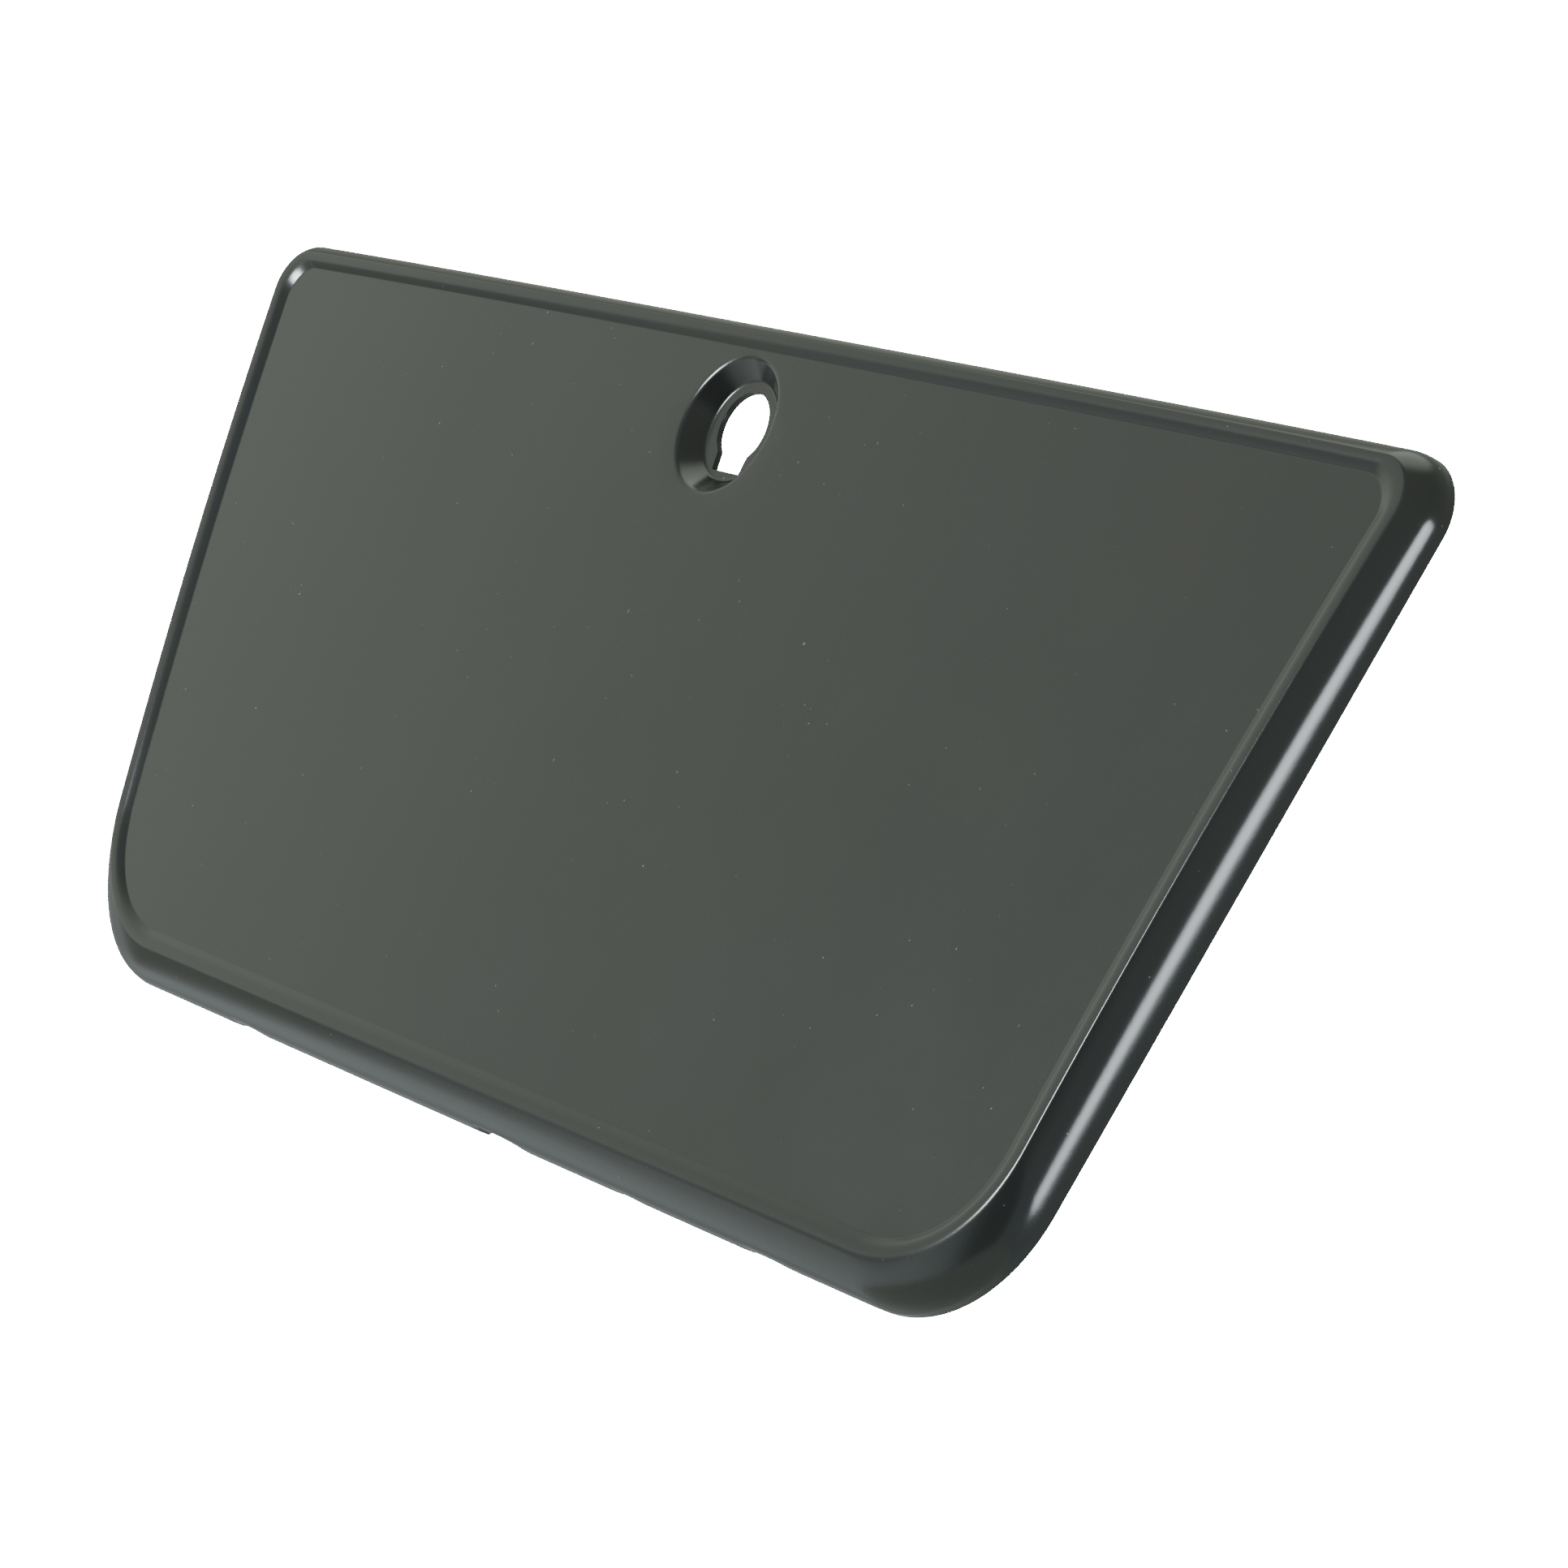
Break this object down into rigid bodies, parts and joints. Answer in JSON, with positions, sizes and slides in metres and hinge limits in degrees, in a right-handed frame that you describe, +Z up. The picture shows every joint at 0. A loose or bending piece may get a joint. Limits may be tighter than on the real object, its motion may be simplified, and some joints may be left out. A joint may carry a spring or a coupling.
{
  "type": "compartment door panel",
  "caption": "Pressed steel compartment door panel, trapezoid with raised rim and recessed field, dished keyed lock hole, stiffened inner panel with hinge plates.",
  "frame": {"origin": "middle of the four hinge holes, on the rear mounting face of the inner panel's hinge pads", "axes": "+X to the right seen from the front, +Y rearward, +Z up; the front faces -Y"},
  "size_m": [0.4568, 0.0304, 0.1985],
  "materials": {
    "black_coat": "semi-gloss black electro-coat",
    "zinc_steel": "dull zinc plate"
  },
  "bodies": {
    "root": {"outer_panel": "black_coat", "inner_panel": "black_coat", "lock_reinforcement": "black_coat", "strap_bracket": "black_coat", "hinge_plate_left": "black_coat", "hinge_plate_right": "black_coat", "hinge_nuts_left": "zinc_steel", "hinge_nuts_right": "zinc_steel"}
  },
  "joints": []
}
